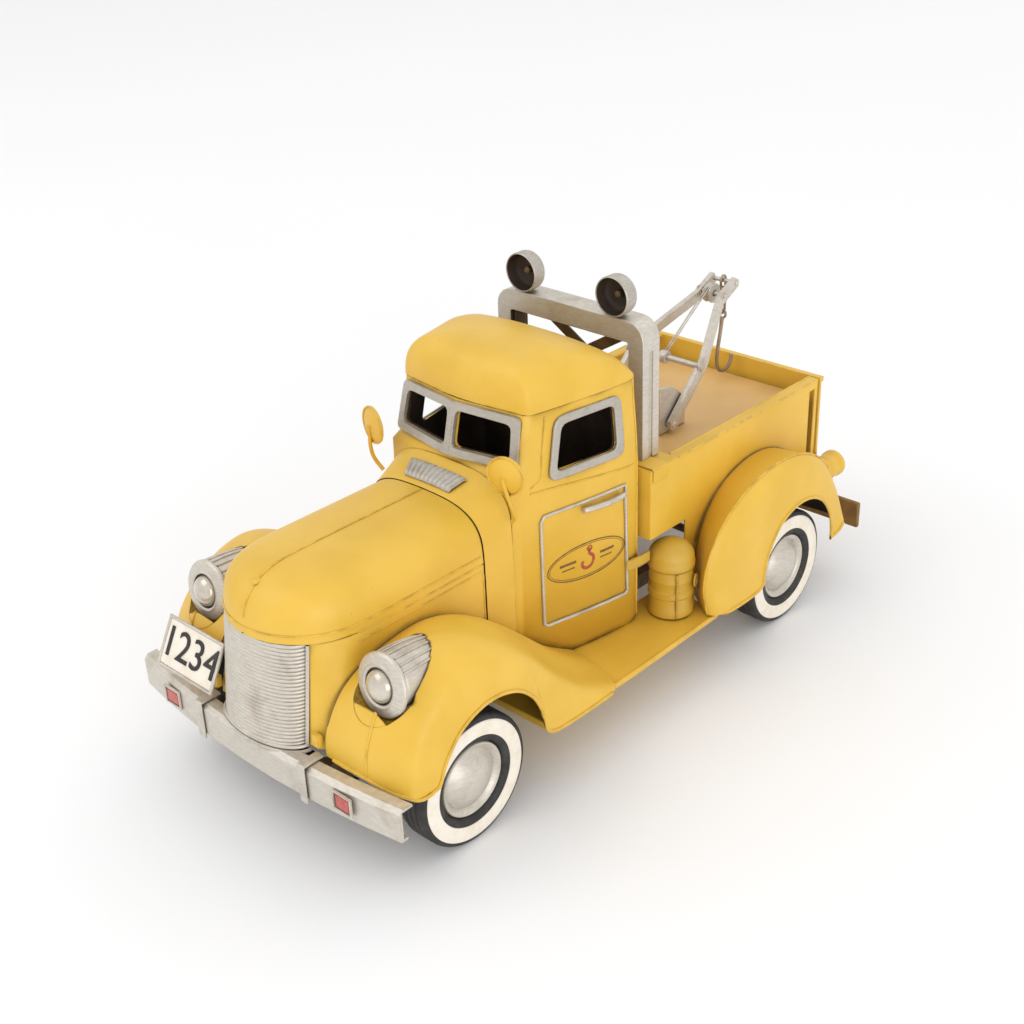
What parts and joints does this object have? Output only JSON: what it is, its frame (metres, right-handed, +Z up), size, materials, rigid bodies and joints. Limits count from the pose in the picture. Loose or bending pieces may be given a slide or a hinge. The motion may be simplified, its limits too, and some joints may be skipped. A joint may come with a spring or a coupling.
{
  "type": "toy tow truck",
  "caption": "Vintage tinplate toy tow truck with round fenders, hinged tailgate, free wheels and a bent rear boom carrying a pulley, link and hook.",
  "frame": {"origin": "on the ground, under the middle of the truck's outline", "axes": "+Z up, the truck faces -Y and its left side is +X"},
  "size_m": [0.196, 0.41, 0.2291],
  "materials": {
    "yellow_paint": "satin, brown wash in the seams",
    "silver_paint": "aged silver paint",
    "brown_metal": "dark brown, worn",
    "black_rubber": "matt black with a cream sidewall",
    "red_lens": "gloss red",
    "white_enamel": "cream enamel"
  },
  "bodies": {
    "truck": {"cab_body": "yellow_paint", "cab_roof": "yellow_paint", "bonnet": "yellow_paint", "cowl": "yellow_paint", "side_panel_left": "yellow_paint", "side_panel_right": "yellow_paint", "front_fender_left": "yellow_paint", "front_fender_right": "yellow_paint", "rear_fender_left": "yellow_paint", "rear_fender_right": "yellow_paint", "running_board_left": "yellow_paint", "running_board_right": "yellow_paint", "bed_box": "yellow_paint", "bed_deck": "yellow_paint", "tail_light_left": "yellow_paint", "tail_light_right": "yellow_paint", "mirror_left": "yellow_paint", "mirror_right": "yellow_paint", "canister": "yellow_paint", "canister_lid": "yellow_paint", "canister_strap": "yellow_paint", "grille": "silver_paint", "front_bumper": "silver_paint", "overrider_left": "silver_paint", "overrider_right": "silver_paint", "headlight_shell_left": "silver_paint", "headlight_shell_right": "silver_paint", "headlight_lens_left": "silver_paint", "headlight_lens_right": "silver_paint", "window_frame_left": "silver_paint", "window_frame_right": "silver_paint", "door_handle_left": "silver_paint", "door_handle_right": "silver_paint", "windshield_frame": "silver_paint", "cowl_vent": "silver_paint", "tower_frame": "silver_paint", "work_lamp_left": "silver_paint", "work_lamp_right": "silver_paint", "boom_bracket_left": "silver_paint", "boom_bracket_right": "silver_paint", "chassis_frame": "brown_metal", "rear_bumper": "brown_metal", "tower_brace": "brown_metal", "reflector_left": "red_lens", "reflector_right": "red_lens", "licence_plate": "white_enamel"},
    "wheel_front_left": {"tyre_front_left": "black_rubber", "hub_front_left": "silver_paint"},
    "wheel_front_right": {"tyre_front_right": "black_rubber", "hub_front_right": "silver_paint"},
    "wheel_rear_left": {"tyre_rear_left": "black_rubber", "hub_rear_left": "silver_paint"},
    "wheel_rear_right": {"tyre_rear_right": "black_rubber", "hub_rear_right": "silver_paint"},
    "tailgate": {"tailgate": "yellow_paint"},
    "boom": {"boom_frame": "silver_paint", "hoist_wire": "silver_paint"},
    "pulley": {"pulley": "silver_paint"},
    "chain_link": {"chain_link": "brown_metal"},
    "tow_hook": {"tow_hook": "brown_metal"}
  },
  "joints": [
    {"name": "wheel_front_left_spin", "type": "hinge", "parent": "truck", "child": "wheel_front_left", "pos_m": [0.079, -0.139, 0.035], "axis": [1, 0, 0], "continuous": true},
    {"name": "wheel_front_right_spin", "type": "hinge", "parent": "truck", "child": "wheel_front_right", "pos_m": [-0.079, -0.139, 0.035], "axis": [1, 0, 0], "continuous": true},
    {"name": "wheel_rear_left_spin", "type": "hinge", "parent": "truck", "child": "wheel_rear_left", "pos_m": [0.079, 0.125, 0.035], "axis": [1, 0, 0], "continuous": true},
    {"name": "wheel_rear_right_spin", "type": "hinge", "parent": "truck", "child": "wheel_rear_right", "pos_m": [-0.079, 0.125, 0.035], "axis": [1, 0, 0], "continuous": true},
    {"name": "tailgate_hinge", "type": "hinge", "parent": "truck", "child": "tailgate", "pos_m": [0, 0.193, 0.074], "axis": [-1, 0, 0], "range_deg": [0, 90]},
    {"name": "boom_lift", "type": "hinge", "parent": "truck", "child": "boom", "pos_m": [0, 0.094, 0.121], "axis": [1, 0, 0], "range_deg": [0, 70]},
    {"name": "pulley_spin", "type": "hinge", "parent": "boom", "child": "pulley", "pos_m": [0, 0.164, 0.176], "axis": [1, 0, 0], "continuous": true},
    {"name": "link_swing", "type": "hinge", "parent": "boom", "child": "chain_link", "pos_m": [0, 0.176, 0.1805], "axis": [1, 0, 0], "range_deg": [-24, 1.5]},
    {"name": "hook_swing", "type": "hinge", "parent": "chain_link", "child": "tow_hook", "pos_m": [0, 0.176, 0.1606], "axis": [1, 0, 0], "range_deg": [-34, 2]}
  ]
}
